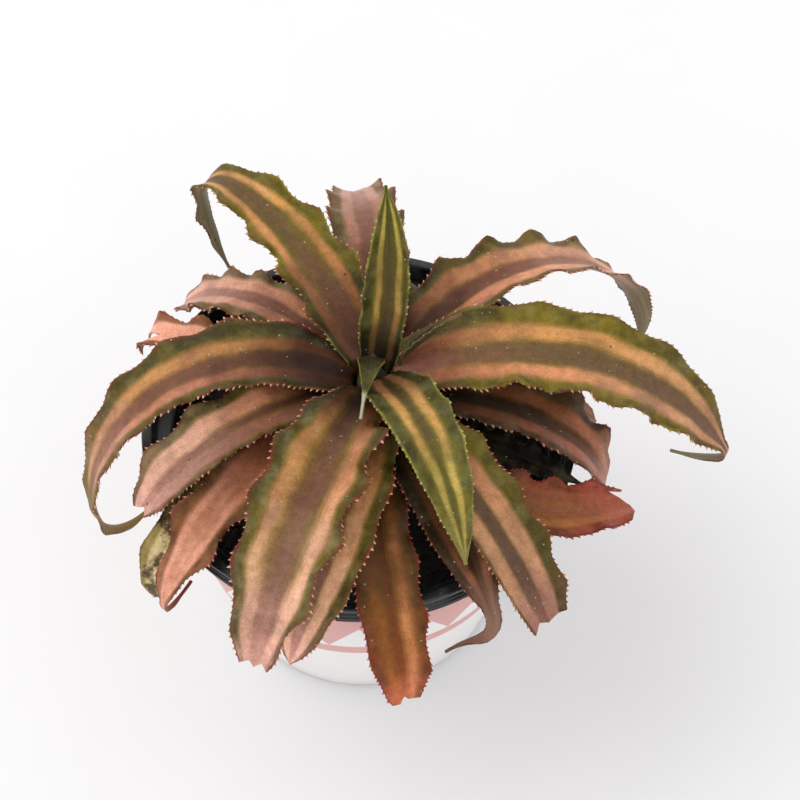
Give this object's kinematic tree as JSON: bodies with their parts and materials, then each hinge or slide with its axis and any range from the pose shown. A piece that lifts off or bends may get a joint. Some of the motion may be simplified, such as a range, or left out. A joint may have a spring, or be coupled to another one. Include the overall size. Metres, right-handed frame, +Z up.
{
  "type": "potted earth star bromeliad",
  "caption": "Earth star bromeliad: a low rosette of long striped leaves with spiny, wavy margins, in a black nursery pot that hangs by its collar in a tapered cover pot.",
  "frame": {"origin": "middle of the cover pot's underside, on the surface that it stands on", "axes": "+Z up along the pots' axis; +Y away from the side that the plant is shown from; +X to the right as seen from there"},
  "size_m": [0.1801, 0.1619, 0.1422],
  "materials": {
    "cover": "satin",
    "pot": "satin",
    "soil": "matte",
    "stem": "matte",
    "young": "satin",
    "leaf": "satin",
    "old": "satin",
    "dry": "matte"
  },
  "bodies": {
    "root": {"cover_pot": "cover", "nursery_pot": "pot", "soil": "soil", "stem": "stem", "leaf_01": "young", "leaf_02": "young", "leaf_03": "young", "leaf_04": "young", "leaf_05": "leaf", "leaf_06": "leaf", "leaf_07": "leaf", "leaf_08": "leaf", "leaf_09": "leaf", "leaf_10": "leaf", "leaf_11": "leaf", "leaf_12": "leaf", "leaf_13": "leaf", "leaf_14": "leaf", "leaf_15": "leaf", "leaf_16": "old", "leaf_17": "old", "leaf_18": "old", "leaf_19": "old", "leaf_20": "old", "leaf_21": "old", "leaf_22": "old", "leaf_23": "old", "leaf_24": "old", "leaf_25": "dry", "leaf_26": "dry"}
  },
  "joints": []
}
